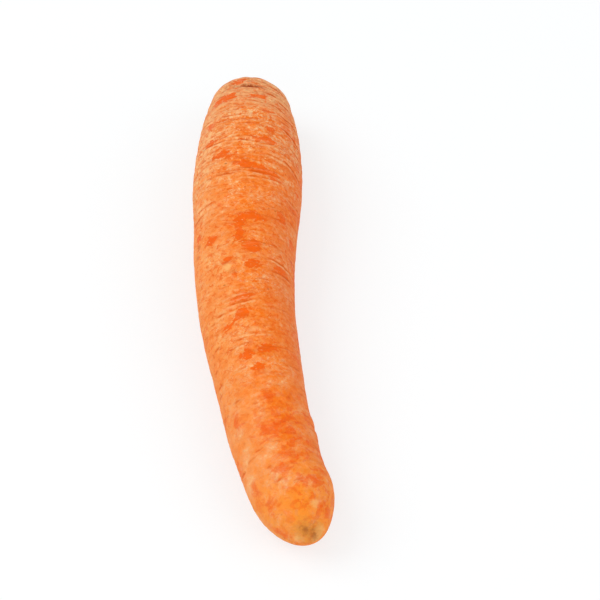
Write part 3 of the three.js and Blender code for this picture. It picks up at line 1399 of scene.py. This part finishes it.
@dataclass(frozen=True)
class Studio:
    """The pale table, the soft light and the camera. Lengths in metres, angles in degrees."""

    table: float = 6.0
    table_colour: Colour = paint(236, 236, 236)
    lens: float = 85.0
    nearest: float = 0.01
    farthest: float = 20.0
    distance: float = 0.4813
    azimuth: float = -6.1
    elevation: float = 52.0
    aim_aside: float = 0.0146
    aim_along: float = 0.0060
    lamps: tuple[Lamp, ...] = (
        Lamp("key", (-0.7, 0.15, 0.9), 0.8, 4.7),
        Lamp("fill", (0.8, -0.5, 0.8), 0.9, 3.2),
        Lamp("front", (-0.3, -1.1, 0.5), 0.8, 1.6),
    )
    sky: float = 0.66
    shadow_share: float = 0.34
    shadow_reach: float = 0.40
    white: Colour = (1.0, 1.0, 1.0, 1.0)
    cool_white: Colour = (0.95, 0.985, 1.0, 1.0)

    def floor(self) -> bpy.types.Object:
        """A white table that stays white into the distance and keeps a light shadow.

        Returns:
            The table.
        """
        let_go()
        bpy.ops.mesh.primitive_plane_add(size=self.table, location=(0, 0, 0))
        floor = bpy.context.object
        floor.name = "table"
        g = Graph(bpy.data.materials.new("table_white"))
        plain = g.add("BsdfDiffuse", {"Color": self.table_colour}).outputs[0]
        bright = g.add("BsdfDiffuse", {"Color": self.cool_white}).outputs[0]
        glow = g.add("Emission", {"Strength": 1.0}).outputs[0]
        place = g.add("TexCoord").outputs["Object"]
        away = g.add("VectorMath", {0: place}, operation="LENGTH").outputs["Value"]
        share = g.step(away, self.shadow_reach, self.shadow_reach / 2, self.shadow_share)
        shown = g.add("MixShader", {0: share, 1: glow, 2: bright}).outputs[0]
        surface = g.add("MixShader", {0: self.seen(g), 1: plain, 2: shown}).outputs[0]
        g.add("OutputMaterial", {"Surface": surface})
        floor.data.materials.append(g.owner)
        return floor

    def seen(self, g: Graph) -> Socket:
        """Tells rays that see something, straight or in a reflection, from rays that only light it.

        Args:
            g: The nodes to add to.

        Returns:
            1 for a ray that sees.
        """
        paths = g.add("LightPath").outputs
        mirrored = g.calc("MAXIMUM", paths["Is Glossy Ray"], paths["Is Transmission Ray"])
        return g.calc("MAXIMUM", paths["Is Camera Ray"], mirrored)

    def world(self) -> None:
        """Even white light from all round, and white where nothing stands."""
        g = Graph(bpy.data.worlds.new("studio"))
        bpy.context.scene.world = g.owner
        light = g.add("Background", {"Color": self.white, "Strength": self.sky}).outputs[0]
        white = g.add("Background", {"Color": self.white, "Strength": 1.0}).outputs[0]
        surface = g.add("MixShader", {0: self.seen(g), 1: light, 2: white}).outputs[0]
        g.add("OutputWorld", {"Surface": surface})

    def hang(self, lamp: Lamp) -> None:
        """Hangs a lamp that shines on the middle of the table.

        Args:
            lamp: Which one.
        """
        data = bpy.data.lights.new(lamp.name, "AREA")
        data.size, data.energy = lamp.side, lamp.power
        hung = bpy.data.objects.new(lamp.name, data)
        hung.location = lamp.place
        hung.rotation_mode = "QUATERNION"
        hung.rotation_quaternion = (-Vector(lamp.place)).to_track_quat("-Z", "Y")
        bpy.context.scene.collection.objects.link(hung)

    def camera(self, middle: Vector) -> None:
        """Looks down on the root from the tip's end.

        Args:
            middle: The middle of the root in plan, on the table.
        """
        data = bpy.data.cameras.new("camera")
        data.lens = self.lens
        data.clip_start, data.clip_end = self.nearest, self.farthest
        camera = bpy.data.objects.new("camera", data)
        turn, rise = math.radians(self.azimuth), math.radians(self.elevation)
        back = Vector((math.sin(turn) * math.cos(rise), -math.cos(turn) * math.cos(rise), math.sin(rise)))
        camera.location = middle + Vector((self.aim_aside, self.aim_along, 0)) + back * self.distance
        camera.rotation_mode = "QUATERNION"
        camera.rotation_quaternion = (-back).to_track_quat("-Z", "Y")
        bpy.context.scene.collection.objects.link(camera)
        bpy.context.scene.camera = camera

    def build(self, middle: Vector) -> None:
        """Sets up the table, the light and the camera round the root.

        Args:
            middle: The middle of the root in plan, on the table.
        """
        bpy.context.scene.view_settings.view_transform = "Standard"
        self.floor()
        self.world()
        for lamp in self.lamps:
            self.hang(lamp)
        self.camera(middle)


def main() -> None:
    """Builds the root, dresses it, and sets it on its table."""
    logging.basicConfig(level=logging.INFO, format="%(name)s: %(message)s")
    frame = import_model()
    mould = joined(frame["nodes"]["carrot"])
    spine = Spine(mould)
    piece = Root(mould, spine).build()
    piece.data.materials.clear()
    piece.data.materials.append(CarrotSkin(SkinFinish()).build())
    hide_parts("carrot")
    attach(piece, "root")
    faces = len(piece.data.polygons)
    LOG.info("%s: %d faces, %.1f mm along its centre line", piece.name, faces, spine.length / MM)
    low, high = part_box("carrot")
    Studio().build(Vector(((low.x + high.x) / 2, (low.y + high.y) / 2, 0)))
    LOG.info("the table, the lamps and the camera stand")


if __name__ == "__main__":
    main()
